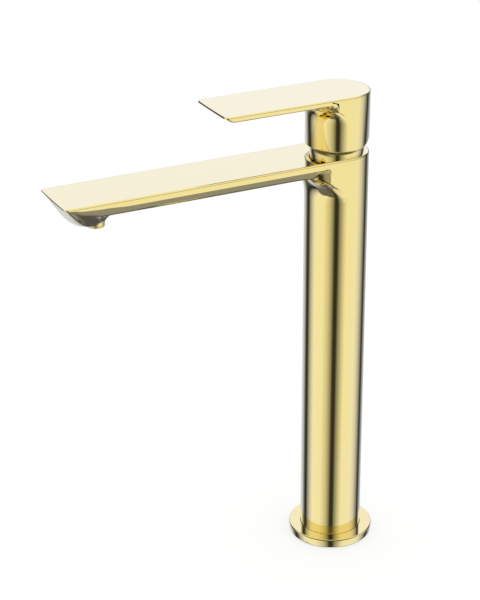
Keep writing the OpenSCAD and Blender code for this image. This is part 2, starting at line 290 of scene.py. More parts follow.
def math_node(tree: Tree, operation: str, a: Socket | float, b: Socket | float | None = None,
              clamp: bool = False) -> Socket:
    """Adds a Math node.

    Args:
        tree: the tree that it goes in.
        operation: Blender's name of the operation.
        a: first input, a socket or a number.
        b: second input, a socket, a number or None.
        clamp: whether the result stays within 0 and 1.

    Returns:
        Its output socket.
    """
    node = tree.nodes.new("ShaderNodeMath")
    node.operation = operation
    node.use_clamp = clamp
    for socket, value in zip(node.inputs, (a, b)):
        if isinstance(value, Socket):
            tree.links.new(value, socket)
        elif value is not None:
            socket.default_value = value
    return node.outputs[0]


def mix_colour(tree: Tree, factor: Socket | float, a: Socket | Point, b: Socket | Point
               ) -> Socket:
    """Adds a colour mix.

    Args:
        tree: the tree that it goes in.
        factor: 0 gives a, 1 gives b.
        a: first colour.
        b: second colour.

    Returns:
        Its output socket.
    """
    node = tree.nodes.new("ShaderNodeMix")
    node.data_type = "RGBA"
    for name, value in (("Factor_Float", factor), ("A_Color", a), ("B_Color", b)):
        socket = next(s for s in node.inputs if s.identifier == name)
        if isinstance(value, Socket):
            tree.links.new(value, socket)
        else:
            socket.default_value = value if isinstance(value, float) else (*value, 1.0)
    return next(s for s in node.outputs if s.identifier == "Result_Color")


def polish_group() -> Tree:
    """Makes the surface effect that every finish shares: haze in soft patches and a fine grain.

    Returns:
        A node group. Inputs: Scale, Base, Haze and Stretch. Outputs: Roughness, Shade, Height.
    """
    grain_scale, grain_detail, patch_detail = 14.0, 4.0, 2.0
    group = bpy.data.node_groups.new("polish", "ShaderNodeTree")
    for name, value in (("Scale", 60.0), ("Base", 0.05), ("Haze", 0.03), ("Stretch", 1.0)):
        socket = group.interface.new_socket(
            name=name, in_out="INPUT", socket_type="NodeSocketFloat")
        socket.default_value = value
    for name in ("Roughness", "Shade", "Height"):
        group.interface.new_socket(name=name, in_out="OUTPUT", socket_type="NodeSocketFloat")
    nodes, links = group.nodes, group.links
    source, sink = nodes.new("NodeGroupInput"), nodes.new("NodeGroupOutput")
    where = nodes.new("ShaderNodeTexCoord")
    stretch = nodes.new("ShaderNodeCombineXYZ")
    stretch.inputs["X"].default_value = stretch.inputs["Y"].default_value = 1.0
    links.new(source.outputs["Stretch"], stretch.inputs["Z"])
    scaled = nodes.new("ShaderNodeVectorMath")
    scaled.operation = "MULTIPLY"
    links.new(where.outputs["Object"], scaled.inputs[0])
    links.new(stretch.outputs["Vector"], scaled.inputs[1])
    fine, broad = nodes.new("ShaderNodeTexNoise"), nodes.new("ShaderNodeTexNoise")
    fine.inputs["Detail"].default_value = grain_detail
    broad.inputs["Detail"].default_value = patch_detail
    for noise in (fine, broad):
        links.new(scaled.outputs["Vector"], noise.inputs["Vector"])
    grain = math_node(group, "MULTIPLY", source.outputs["Scale"], grain_scale)
    links.new(grain, fine.inputs["Scale"])
    links.new(source.outputs["Scale"], broad.inputs["Scale"])
    haze = math_node(group, "MULTIPLY", broad.outputs["Fac"], source.outputs["Haze"])
    links.new(math_node(group, "ADD", source.outputs["Base"], haze), sink.inputs["Roughness"])
    links.new(broad.outputs["Fac"], sink.inputs["Shade"])
    links.new(fine.outputs["Fac"], sink.inputs["Height"])
    return group


@dataclass(frozen=True)
class Finish:
    """One finish: a colour, a second tint that it drifts to, a painted sheen at grazing angles, and
    how it takes light.
    """

    name: str
    colour: Point
    drift: Point
    metallic: float
    roughness: float
    haze: float
    scale: float
    stretch: float = 1.0  # along the height; less than 1 draws the patches out
    bump: float = 0.0
    bump_depth: float = 0.00002
    pale: Point | None = None  # painted sheen: the colour it turns to where it is seen at a grazing angle, in place of reflections
    painted_sheen_power: float = 1.79
    painted_sheen_amount: float = 1.366

    def build(self, polish: Tree) -> Material:
        """Makes the material.

        Args:
            polish: the shared surface effect.

        Returns:
            The material.
        """
        material = bpy.data.materials.new(self.name)
        tree, shader = graph(material)
        effect = tree.nodes.new("ShaderNodeGroup")
        effect.node_tree = polish
        for name, value in (("Scale", self.scale), ("Base", self.roughness),
                            ("Haze", self.haze), ("Stretch", self.stretch)):
            effect.inputs[name].default_value = value
        tree.links.new(effect.outputs["Roughness"], shader.inputs["Roughness"])
        colour = mix_colour(tree, effect.outputs["Shade"], self.colour, self.drift)
        # painted sheen: the base colour turns pale toward grazing angles, standing in for the
        # reflections there
        if self.pale:
            facing = tree.nodes.new("ShaderNodeLayerWeight")
            facing.inputs["Blend"].default_value = 0.5
            rim = math_node(tree, "POWER", facing.outputs["Facing"], self.painted_sheen_power)
            rim = math_node(tree, "MULTIPLY", rim, self.painted_sheen_amount, clamp=True)
            colour = mix_colour(tree, rim, colour, self.pale)
        tree.links.new(colour, shader.inputs["Base Color"])
        shader.inputs["Metallic"].default_value = self.metallic
        if self.bump:
            bump = tree.nodes.new("ShaderNodeBump")
            bump.inputs["Strength"].default_value = self.bump
            bump.inputs["Distance"].default_value = self.bump_depth
            tree.links.new(effect.outputs["Height"], bump.inputs["Height"])
            tree.links.new(bump.outputs["Normal"], shader.inputs["Normal"])
        return material


# the gold's pale colour at grazing angles is a painted sheen
GOLD = Finish(
    "polished_gold", colour=(0.905, 0.755, 0.290), drift=(0.893, 0.744, 0.280),
    metallic=1.0, roughness=0.03, haze=0.025, scale=35.0, pale=(0.93, 0.91, 0.86))
SATIN = replace(GOLD, name="satin_gold", roughness=0.42, haze=0.08, scale=80.0)
RUBBER = Finish(
    "soft_rubber", colour=(0.020, 0.020, 0.022), drift=(0.032, 0.031, 0.031),
    metallic=0.0, roughness=0.62, haze=0.2, scale=90.0, bump=0.4)
BRASS = Finish(
    "plain_brass", colour=(0.66, 0.46, 0.17), drift=(0.58, 0.39, 0.14),
    metallic=1.0, roughness=0.22, haze=0.16, scale=70.0, bump=0.25)
COPPER = Finish(
    "copper_tube", colour=(0.72, 0.36, 0.22), drift=(0.60, 0.28, 0.17),
    metallic=1.0, roughness=0.2, haze=0.2, scale=50.0, stretch=0.2, bump=0.2)
BLACK = Finish(
    "black_plastic", colour=(0.024, 0.024, 0.028), drift=(0.036, 0.036, 0.040),
    metallic=0.0, roughness=0.38, haze=0.15, scale=120.0, bump=0.3)
WHITE = Finish(
    "white_plastic", colour=(0.74, 0.75, 0.76), drift=(0.68, 0.69, 0.71),
    metallic=0.0, roughness=0.34, haze=0.12, scale=100.0, bump=0.25)
CERAMIC = Finish(
    "white_ceramic", colour=(0.82, 0.80, 0.75), drift=(0.78, 0.75, 0.70),
    metallic=0.0, roughness=0.12, haze=0.08, scale=120.0, bump=0.1)
STEEL = Finish(
    "bright_steel", colour=(0.60, 0.61, 0.62), drift=(0.53, 0.54, 0.55),
    metallic=1.0, roughness=0.2, haze=0.14, scale=60.0, bump=0.2)
FINISH_OF_SLOT = {
    Slot.GOLD: GOLD, Slot.RUBBER: RUBBER, Slot.BRASS: BRASS, Slot.COPPER: COPPER,
    Slot.BLACK: BLACK, Slot.WHITE: WHITE, Slot.CERAMIC: CERAMIC, Slot.STEEL: STEEL,
}


@dataclass
class Finishes:
    """Every finish, made once."""

    polish: Tree = field(default_factory=polish_group)
    made: dict[Slot, Material] = field(init=False)
    satin: Material = field(init=False)

    def __post_init__(self) -> None:
        """Makes the materials."""
        self.made = {slot: f.build(self.polish) for slot, f in FINISH_OF_SLOT.items()}
        self.satin = SATIN.build(self.polish)

    def __getitem__(self, slot: Slot) -> Material:
        """The material of a slot."""
        return self.made[slot]


# ---- studio ----


@dataclass(frozen=True)
class Studio:
    """Camera, floor and the soft boxes and black flags that polished metal mirrors.

    Directions round the object are in degrees from the camera's side, positive to its right.
    """

    azimuth: float = 63.524
    elevation: float = 24.446
    roll: float = -0.263
    lens: float = 109.33
    stand: Point = (0.92604, -0.52856, 0.65373)  # where the camera stands, in metres
    # brightness of the ring of soft boxes and flags: (direction, level)
    ring: tuple[Flat, ...] = (
        (-180, 0.74), (-155, 0.68), (-141, 0.48), (-133, 0.20), (-127, 0.07), (-121, 0.03),
        (-116, 0.03), (-112, 0.13), (-107, 0.31), (-96, 0.62), (-86, 0.89), (-79, 1.0),
        (-46, 1.0), (-26, 0.70), (-17, 0.46), (-9.5, 0.22), (-5.5, 0.05), (4, 0.03), (8, 0.10),
        (12.5, 0.28), (21, 0.50), (28, 0.73), (40, 1.0), (80, 0.97), (97, 0.74), (107, 0.50),
        (120, 0.18), (125, 0.04), (130, 0.03), (137, 0.16), (151, 0.45),
    )
    # the dark room far below, with the camera's own dark strip
    pit: tuple[Flat, ...] = (
        (-180, 0.40), (-155, 0.40), (-135, 0.18), (-60, 0.14), (-18, 0.14), (-8, 0.05),
        (8, 0.05), (18, 0.22), (60, 0.32), (112, 0.30), (132, 0.16), (145, 0.09), (168, 0.09),
    )
    # how far down the boxes reach: (direction, depth)
    skirt: tuple[Flat, ...] = (
        (-180, 0.78), (-160, 0.83), (-145, 0.83), (-128, 0.70), (-75, 0.72), (-50, 0.83),
        (100, 0.83), (130, 0.80), (146, 0.58), (170, 0.58),
    )
    behind: float = 142.0  # beyond this direction the upper boxes are as bright as the top
    above: float = 1.0
    nadir: float = 0.10
    horizon: float = 0.10
    # heights between which one part of the studio gives way to the next, -1 down to 1 up
    nadir_band: Flat = (-0.995, -0.93)
    skirt_band: Flat = (-0.03, 0.03)
    horizon_band: Flat = (-0.15, -0.05)
    crown_band: Flat = (0.12, 0.26)
    top_band: Flat = (0.62, 0.80)
    sensor: float = 36.0
    nearest: float = 0.01
    floor_half: float = 6.0
    floor_grey: float = 0.40
    floor_glow: float = 0.63

    def camera(self) -> None:
        """Makes the camera: its place, its turn and its lens."""
        a, e, r = (math.radians(v) for v in (self.azimuth, self.elevation, self.roll))
        back = Vector((math.sin(a) * math.cos(e), -math.cos(a) * math.cos(e), math.sin(e)))
        right = Vector((math.cos(a), math.sin(a), 0.0))
        up = right.cross(-back)
        turned = right * math.cos(r) + up * math.sin(r)
        upright = -right * math.sin(r) + up * math.cos(r)
        data = bpy.data.cameras.new("camera")
        data.lens = self.lens
        data.sensor_width = self.sensor
        data.clip_start = self.nearest
        cam = bpy.data.objects.new("camera", data)
        pose = Matrix((turned, upright, back)).transposed().to_4x4()
        pose.translation = Vector(self.stand)
        cam.matrix_world = pose
        bpy.context.scene.collection.objects.link(cam)
        bpy.context.scene.camera = cam

    @staticmethod
    def ramp(tree: Tree, factor: Socket, stops: Sequence[Flat]) -> Socket:
        """Adds a grey ramp over the directions round the object; it joins up at the back.

        Args:
            tree: the tree that it goes in.
            factor: the direction, from 0 to 1.
            stops: pairs of direction in degrees and level.

        Returns:
            Its output socket.
        """
        node = tree.nodes.new("ShaderNodeValToRGB")
        ramp = node.color_ramp
        ramp.interpolation = "LINEAR"
        closed = [*stops, (180.0, stops[0][1])]
        while len(ramp.elements) < len(closed):
            ramp.elements.new(0.5)
        for element, (direction, level) in zip(ramp.elements, closed):
            element.position = (direction + 180) / 360
            element.color = (level, level, level, 1.0)
        tree.links.new(factor, node.inputs["Fac"])
        return node.outputs["Color"]

    def world(self) -> None:
        """Makes the world: plain light for matt surfaces, the studio for mirrors, white behind."""
        world = bpy.data.worlds.new("studio")
        bpy.context.scene.world = world
        world.use_nodes = True
        tree = world.node_tree
        tree.nodes.clear()
        where = tree.nodes.new("ShaderNodeTexCoord")
        turn = tree.nodes.new("ShaderNodeVectorRotate")
        turn.rotation_type = "Z_AXIS"
        turn.inputs["Angle"].default_value = -math.radians(self.azimuth)
        tree.links.new(where.outputs["Generated"], turn.inputs["Vector"])
        split = tree.nodes.new("ShaderNodeSeparateXYZ")
        tree.links.new(turn.outputs["Vector"], split.inputs["Vector"])
        toward = math_node(tree, "MULTIPLY", split.outputs["Y"], -1.0)
        angle = math_node(tree, "ARCTAN2", split.outputs["X"], toward)
        around = math_node(tree, "MULTIPLY_ADD", angle, 0.5 / math.pi)
        around.node.inputs[2].default_value = 0.5
        height = split.outputs["Z"]
        ring = self.ramp(tree, around, self.ring)
        crown = self.ramp(tree, around, [(d, self.above if abs(d) > self.behind else level)
                                         for d, level in self.ring])
        pit = self.ramp(tree, around, self.pit)

        def band(limits: Flat, at: Socket = height) -> Socket:
            """Adds a soft change from 0 to 1.

            Args:
                limits: where it starts and ends.
                at: what it follows.

            Returns:
                Its output socket.
            """
            node = tree.nodes.new("ShaderNodeMapRange")
            node.interpolation_type = "SMOOTHSTEP"
            node.inputs["From Min"].default_value = limits[0]
            node.inputs["From Max"].default_value = limits[1]
            tree.links.new(at, node.inputs["Value"])
            return node.outputs["Result"]

        def grey(level: float) -> Point:
            """A plain level as a colour."""
            return (level, level, level)

        low = mix_colour(tree, band(self.nadir_band), grey(self.nadir), pit)
        above_skirt = math_node(tree, "ADD", height, self.ramp(tree, around, self.skirt))
        boxes = mix_colour(tree, band(self.skirt_band, above_skirt), low, ring)
        edge = mix_colour(tree, band(self.horizon_band), boxes, grey(self.horizon))
        upper = mix_colour(tree, band(self.crown_band), edge, crown)
        studio = mix_colour(tree, band(self.top_band), upper, grey(self.above))
        path = tree.nodes.new("ShaderNodeLightPath")
        shown = mix_colour(tree, path.outputs["Is Glossy Ray"], (1.0, 1.0, 1.0), studio)
        back = tree.nodes.new("ShaderNodeBackground")
        out = tree.nodes.new("ShaderNodeOutputWorld")
        tree.links.new(shown, back.inputs["Color"])
        tree.links.new(back.outputs["Background"], out.inputs["Surface"])

    def floor(self) -> None:
        """Makes the pale floor. From below it is clear, so that the fixing shows."""
        bm = bmesh.new()
        bmesh.ops.create_grid(bm, x_segments=1, y_segments=1, size=self.floor_half)
        mesh = bpy.data.meshes.new("floor")
        bm.to_mesh(mesh)
        bm.free()
        floor = bpy.data.objects.new("floor", mesh)
        bpy.context.scene.collection.objects.link(floor)
        material = bpy.data.materials.new("pale_floor")
        material.use_nodes = True
        tree = material.node_tree
        tree.nodes.clear()
        matt = tree.nodes.new("ShaderNodeBsdfDiffuse")
        matt.inputs["Color"].default_value = (*[self.floor_grey] * 3, 1.0)
        glow = tree.nodes.new("ShaderNodeEmission")
        glow.inputs["Strength"].default_value = self.floor_glow
        both = tree.nodes.new("ShaderNodeAddShader")
        tree.links.new(matt.outputs["BSDF"], both.inputs[0])
        tree.links.new(glow.outputs["Emission"], both.inputs[1])
        clear = tree.nodes.new("ShaderNodeBsdfTransparent")
        side = tree.nodes.new("ShaderNodeNewGeometry")
        pick = tree.nodes.new("ShaderNodeMixShader")
        tree.links.new(side.outputs["Backfacing"], pick.inputs["Fac"])
        tree.links.new(both.outputs["Shader"], pick.inputs[1])
        tree.links.new(clear.outputs["BSDF"], pick.inputs[2])
        out = tree.nodes.new("ShaderNodeOutputMaterial")
        tree.links.new(pick.outputs["Shader"], out.inputs["Surface"])
        mesh.materials.append(material)
        floor.visible_glossy = False

    def build(self) -> None:
        """Makes everything that isn't the object."""
        bpy.context.scene.view_settings.view_transform = "Standard"
        self.camera()
        self.world()
        self.floor()
        LOG.info("studio: camera at %.1f round, %.1f up", self.azimuth, self.elevation)


# ---- flat arms: the spout and the lever ----


@dataclass(frozen=True)
class Tongue:
    """The outline of a flat arm's tip seen from above: two soft corners and a bowed end."""

    half_w: float
    reach: float
    corner_r: float
    bow_r: float

    def corner_centre(self) -> Flat:
        """Centre of the corner's arc, which touches the side and the bowed end."""
        x = self.half_w - self.corner_r
        return x, -self.reach + self.bow_r - math.sqrt((self.bow_r - self.corner_r) ** 2 - x * x)

    def bow(self, x: float) -> float:
        """Y of the bowed end at x."""
        return -self.reach + self.bow_r - math.sqrt(self.bow_r**2 - x * x)


@dataclass(frozen=True)
class Station:
    """One cross-section of an arm's underside, given for the side of +X.

    Each point is (x, y, z): edge is the lower edge of the thin side, inner the top of the
    keel's wall, keel its lower corner. The middle of the underside is (y, z).
    """

    edge: Point
    inner: Point
    keel: Point
    mid: Flat


def across(y: float, edge: Flat, inner: Flat, keel: Flat, mid_z: float) -> Station:
    """A station square to the arm, its points given as (x, z)."""
    return Station(*[(x, y, z) for x, z in (edge, inner, keel)], (y, mid_z))


def joined(y: float, z: float, mid_y: float, mid_z: float) -> Station:
    """A station down the post's side, where edge, inner and keel have become one point."""
    return Station(*[(POST_R, y, z)] * 3, (mid_y, mid_z))


@dataclass(frozen=True)
class Arm:
    """A flat arm that grows out of a round post: a thin rim, an underside and a root."""

    tongue: Tongue
    stations: tuple[Station, ...]
    straight: int  # a station in its straight stretch
    top: float
    head_low: float  # the lower edge of the head's round back
    bore_r: float
    inner_round: float
    keel_round: float
    rim_round: float
    row_steps: int = 6
    edge_steps: int = 4
    inner_steps: int = 6
    wall_steps: int = 7
    keel_steps: int = 8
    lower_steps: int = 16
    rim_steps: int = 8
    back_steps: int = 96
    ahead: int = 3  # the point of the underside that the keel's rounding runs toward
    round_share: float = 0.45  # of a side's length, that a rounding may take
    rim_share: float = 0.6  # of the thin side's height, that the rim's rounding may take
    side_share: float = 0.3  # of the thin side's height, below its first row of points
    narrow: float = 0.2  # turn from the middle, in radians, up to which the side has no slope

    def _rails(self, t: float) -> tuple[Vector, Vector, Vector, Vector]:
        """Finds the points that a section is drawn through.

        Args:
            t: place along the arm, counted in stations from the tip.

        Returns:
            The edge, the top of the keel's wall, the keel's corner and the middle.
        """
        def rail(pick: Callable[[Station], Sequence[float]]) -> Vector:
            """The point at t of the line that picks one point of each station."""
            columns = list(zip(*(pick(s) for s in self.stations)))
            return Vector([through(c, t) for c in columns])

        mid = rail(lambda s: s.mid)
        return (rail(lambda s: s.edge), rail(lambda s: s.inner), rail(lambda s: s.keel),
                Vector((0.0, mid[0], mid[1])))

    def _below(self, t: float, keel: Vector, low: list[Vector]) -> Vector:
        """The point that the surface leaves the keel's corner for: across the underside."""
        return low[self.ahead]

    def section(self, t: float) -> list[Vector]:
        """The underside at t, from the edge to the middle.

        Args:
            t: place along the arm, counted in stations from the tip.

        Returns:
            The points, always the same number of them.
        """
        edge, inner, keel, mid = self._rails(t)
        joined_at = self.joined_at()
        side_flow = smooth_step(joined_at - 1, joined_at, t)

        def corner(a: Vector, b: Vector, c: Vector, r: float, steps: int) -> list[Vector]:
            """Softens a corner.

            Args:
                a: the point before it.
                b: the corner.
                c: the point after it.
                r: length that the rounding takes from each side.
                steps: steps of the rounding.

            Returns:
                The rounding's points.
            """
            ra = min(r, (a - b).length * self.round_share)
            rc = min(r, (c - b).length * self.round_share)
            start = b + (a - b).normalized() * ra if ra > TOUCH else b.copy()
            end = b + (c - b).normalized() * rc if rc > TOUCH else b.copy()
            parts = [k / steps for k in range(steps + 1)]
            return [start * (1 - f) ** 2 + b * 2 * f * (1 - f) + end * f * f for f in parts]

        low = self._lower(keel, mid, side_flow)
        first = corner(edge, inner, keel, self.inner_round, self.inner_steps)
        second = corner(inner, keel, self._below(t, keel, low), self.keel_round, self.keel_steps)
        low = self._lower(keel, mid, side_flow, start=(second[-1] - keel).length)
        return [
            *[edge.lerp(first[0], k / self.edge_steps) for k in range(self.edge_steps)], *first,
            *[first[-1].lerp(second[0], k / self.wall_steps) for k in range(1, self.wall_steps)],
            *second, *low[1:],
        ]

    def _lower(self, keel: Vector, mid: Vector, side_flow: float, start: float = 0.0
               ) -> list[Vector]:
        """The underside between the keel's corner and the middle.

        Args:
            keel: the keel's corner.
            mid: the middle point.
            side_flow: 0 where the corner is an edge, 1 where it flows out of the post's side.
            start: length that the corner's rounding takes.

        Returns:
            Points from the corner to the middle.
        """
        psi_k, rho_k = math.atan2(keel.x, -keel.y), math.hypot(keel.x, keel.y)
        rho_m = -mid.y
        width = (keel - mid).length
        skip = min(0.5, start / width) if width > 0 else 0.0
        side_slope = -rho_k / math.tan(psi_k) * psi_k if psi_k > self.narrow else 0.0
        even_slope = 2 * (rho_k - rho_m)
        slope = even_slope * (1 - side_flow) + side_slope * side_flow
        points = []
        for k in range(self.lower_steps + 1):
            s = (1 - skip) * (1 - k / self.lower_steps)
            h01, h11 = 3 * s**2 - 2 * s**3, s**3 - s**2
            rho = rho_m * (1 - h01) + rho_k * h01 + slope * h11
            psi = psi_k * s
            z = mid.z + (keel.z - mid.z) * s * s
            points.append(Vector((rho * math.sin(psi), -rho * math.cos(psi), z)))
        return points

    def shell(self) -> Shell:
        """Makes the arm and the head of its post as one closed shell, in millimetres.

        Returns:
            The mesh.
        """
        bm = bmesh.new()
        rows = (len(self.stations) - 1) * self.row_steps
        sections = [self.section(j / self.row_steps) for j in range(rows + 1)]
        self._underside(bm, sections)
        self._rim(bm, self._rim_loop(sections))
        self._head(bm)
        bmesh.ops.dissolve_degenerate(bm, dist=SPECK, edges=bm.edges)
        bmesh.ops.recalc_face_normals(bm, faces=bm.faces)
        return bm

    def _rim(self, bm: Shell, sides: list[tuple[Vector, Vector, Vector]]) -> None:
        """Adds the rim, from the underside's edge round the outside to the top's edge.

        Args:
            bm: the mesh that receives it.
            sides: (low point, outline point, inward direction) round the arm.
        """
        drop = arc((0.0, 0.0), 1.0, 180, 90, self.rim_steps)
        rows, last = self.rim_steps + 2, len(sides) - 1
        post_z = self.head_low - 0.5  # below this the rim's edge runs down the post

        def rim(u: float, v: float) -> Point:
            """Places a point of the rim.

            Args:
                u: place round it, 0 to 1.
                v: place up it, 0 to 1.

            Returns:
                The point.
            """
            low, high, inward = sides[round(u * last)]
            r = min(self.rim_round, self.rim_share * (self.top - low.z))
            k = round(v * rows)
            if k == 0:
                return tuple(low)
            if k == 1 and low.z < post_z:
                return high.x, high.y, self.head_low
            if k == 1:
                return tuple(low.lerp(Vector((high.x, high.y, self.top - r)), self.side_share))
            dx, dz = drop[k - 2]
            shift = r * (1 + dx)
            return high.x + inward.x * shift, high.y + inward.y * shift, self.top - r + r * dz

        skin(bm, last, rows, rim)
        bmesh.ops.remove_doubles(bm, verts=bm.verts, dist=MERGE)

    @staticmethod
    def sheet(bm: Shell, sections: list[list[Vector]]) -> None:
        """Adds the whole width of the underside along some sections.

        Args:
            bm: the mesh that receives it.
            sections: the sections, from the tip's side to the post's.
        """
        side, rows = len(sections[0]) - 1, len(sections) - 1

        def under(u: float, v: float) -> Point:
            """A point of the underside; u runs across, v from the tip to the post."""
            i = round(u * 2 * side) - side
            p = sections[round(v * rows)][side - abs(i)]
            return (math.copysign(p.x, i) if i else 0.0, p.y, p.z)

        skin(bm, 2 * side, rows, under)

    def _underside(self, bm: Shell, sections: list[list[Vector]]) -> None:
        """Adds the underside."""
        self.sheet(bm, sections)

    def _rim_loop(self, sections: list[list[Vector]]) -> list[tuple[Vector, Vector, Vector]]:
        """Pairs the underside's edge with the top's outline.

        Args:
            sections: the sections from the tip to the post.

        Returns:
            (low point, outline point, inward direction) round the arm, from one side of the
            post, past the tip, to the other side.
        """
        near: list[tuple[Vector, Vector, Vector]] = []
        rows, tongue, turn_down = len(sections) - 1, self.tongue, self.straight_end()
        root_y, straight_row = self.stations[turn_down].edge[1], turn_down * self.row_steps
        centre = Vector((*tongue.corner_centre(), 0))
        for j in range(rows, -1, -1):
            low, inward = sections[j][0], Vector((-1, 0, 0))
            if j > straight_row:
                share = (j - straight_row) / (rows - straight_row)
                high = Vector((tongue.half_w, root_y * (1 - share), 0))
            elif low.y > centre.y:
                high = Vector((tongue.half_w, low.y, 0))
            else:
                inward = (centre - Vector((low.x, low.y, 0))).normalized()
                high = centre - inward * tongue.corner_r
            near.append((low, high, inward))
        tip = []
        bow_centre = Vector((0, -tongue.reach + tongue.bow_r, 0))
        for p in sections[0][1:]:
            high = Vector((p.x, tongue.bow(p.x), 0))
            tip.append((p, high, (bow_centre - high).normalized()))
        half = near + tip
        mirror = Matrix.Diagonal((-1, 1, 1))
        return half + [tuple(mirror @ v for v in item) for item in reversed(half[:-1])]

    def straight_end(self) -> int:
        """Index of the last station before the rim turns down the post."""
        level = self.stations[self.straight].edge[2]
        return max(i for i, s in enumerate(self.stations) if s.edge[2] == level)

    def joined_at(self) -> int:
        """Index of the first station where edge, inner and keel have become one point."""
        return next(i for i, s in enumerate(self.stations) if s.edge == s.inner == s.keel)

    def _round_back(self, bm: Shell) -> None:
        """Adds the round back of the head, up to the top face.

        Args:
            bm: the mesh that receives it.
        """
        r = self.rim_round
        drop = arc((POST_R - r, self.top - r), r, 0, 90, self.rim_steps)
        rows = [(POST_R, self.head_low), *drop]

        def back(u: float, v: float) -> Point:
            """A point of the round back; u runs round it, v up it."""
            radius, z = rows[round(v * (len(rows) - 1))]
            return radius * math.cos(math.pi * u), radius * math.sin(math.pi * u), z

        skin(bm, self.back_steps, len(rows) - 1, back)
        bmesh.ops.remove_doubles(bm, verts=bm.verts, dist=MERGE)

    def _open_edges(self, bm: Shell, at_top: bool) -> Edges:
        """The open loop round the top face, or the one below it."""
        near_top = self.top - 1e-3
        return [e for e in bm.edges if e.is_boundary
                and all(v.co.z > near_top for v in e.verts) == at_top]

    @staticmethod
    def draw_out(bm: Shell, edges: Edges, move: Callable[[Vector], Vector]) -> Edges:
        """Extrudes open edges and moves the new points.

        Args:
            bm: the mesh.
            edges: the edges.
            move: gives a new point's place from its old one.

        Returns:
            The new open edges.
        """
        made = bmesh.ops.extrude_edge_only(bm, edges=edges)["geom"]
        for v in (g for g in made if isinstance(g, bmesh.types.BMVert)):
            v.co = move(v.co)
        new = [g for g in made if isinstance(g, bmesh.types.BMEdge)]
        return [e for e in new if e.is_valid and e.is_boundary]

    def _head(self, bm: Shell) -> None:
        """Closes the arm over its post: the round back, the top face and the bore."""
        raise NotImplementedError


def radial(point: Vector, radius: float, z: float | None = None) -> Vector:
    """Moves a point in or out from the column's axis.

    Args:
        point: the point.
        radius: its new distance from the axis.
        z: its new height, or None to keep it.

    Returns:
        The new point.
    """
    out = Vector((point.x, point.y, 0)).normalized() * radius
    out.z = point.z if z is None else z
    return out


# the spout from its tip, past the outlet, along the keel and down the column
SPOUT_STATIONS = (
    Station((17.1, -188.32, 271.3), (17.0, -188.32, 271.3), (16.9, -188.32, 271.3), (-188.5, 271.3)),
    Station((18.45, -187.85, 271.15), (18.3, -187.6, 271.0), (18.0, -187.2, 270.7), (-187.8, 270.9)),
    Station((19.4, -186.75, 270.8), (19.2, -186.6, 270.6), (18.8, -186.3, 270.1), (-186.8, 269.8)),
    Station((19.75, -185.2, 270.5), (19.3, -185.2, 270.3), (18.9, -185.2, 269.7), (-185.6, 268.0)),
    Station((19.7, -182.2, 270.1), (19.0, -182.2, 269.9), (18.3, -182.2, 268.9), (-182.4, 266.0)),
    across(-179.0, (19.62, 269.7), (18.6, 269.6), (17.3, 267.3), 264.0),
    across(-175.8, (19.6, 269.3), (18.3, 269.2), (16.3, 265.7), 262.0),
    across(-172.5, (19.62, 269.1), (18.1, 269.0), (15.7, 264.7), 261.1),
    across(-169.4, (19.65, 268.9), (18.0, 268.8), (15.3, 263.9), 261.1),
    across(-166.3, (19.65, 268.75), (17.95, 268.65), (14.75, 263.0), 261.1),
    across(-163.4, (19.7, 268.7), (17.9, 268.6), (14.1, 261.9), 261.1),
    across(-160.0, (19.7, 268.6), (17.85, 268.5), (13.7, 261.3), 261.1),
    across(-155.5, (19.7, 268.3), (17.7, 268.2), (13.6, 261.15), 261.1),
    across(-150.0, (19.7, 267.9), (17.45, 267.8), (13.6, 261.1), 261.1),
    across(-144.0, (19.7, 267.8), (17.4, 267.7), (13.6, 261.1), 261.1),
    *[across(y, (19.7, 267.8), (17.4, 267.7), (13.6, 261.0), 261.0) for y in (-120.0, -84.0, -50.0)],
    across(-38.0, (19.7, 267.8), (17.4, 267.7), (13.65, 261.0), 261.0),
    Station((19.75, -29.0, 267.8), (17.5, -29.5, 267.7), (13.9, -30.5, 261.0), (-33.0, 260.95)),
    Station((19.85, -21.0, 267.8), (17.8, -23.0, 267.4), (14.6, -25.2, 260.8), (-29.6, 260.9)),
    Station((20.0, -16.0, 267.5), (18.3, -19.8, 266.2), (16.4, -22.9, 260.4), (-27.0, 260.6)),
    Station((20.0, -14.9, 266.2), (18.7, -18.4, 264.2), (17.8, -20.5, 259.6), (-25.0, 260.1)),
    Station((20.0, -14.8, 263.6), (19.1, -17.3, 262.0), (18.7, -18.4, 258.8), (-23.6, 259.5)),
    Station((20.0, -14.8, 260.9), (19.5, -16.2, 260.0), (19.4, -16.5, 258.2), (-22.6, 258.9)),
    joined(-14.6, 257.9, -21.8, 258.1),
    joined(-12.4, 256.1, -20.8, 256.3),
    joined(-9.5, 254.0, -20.2, 254.1),
    joined(-6.5, 251.4, -20.04, 251.5),
    joined(-3.6, 249.0, -20.03, 249.0),
    joined(-1.1, 246.6, -20.03, 246.6),
    joined(0.0, 244.0, -20.03, 244.0),
)

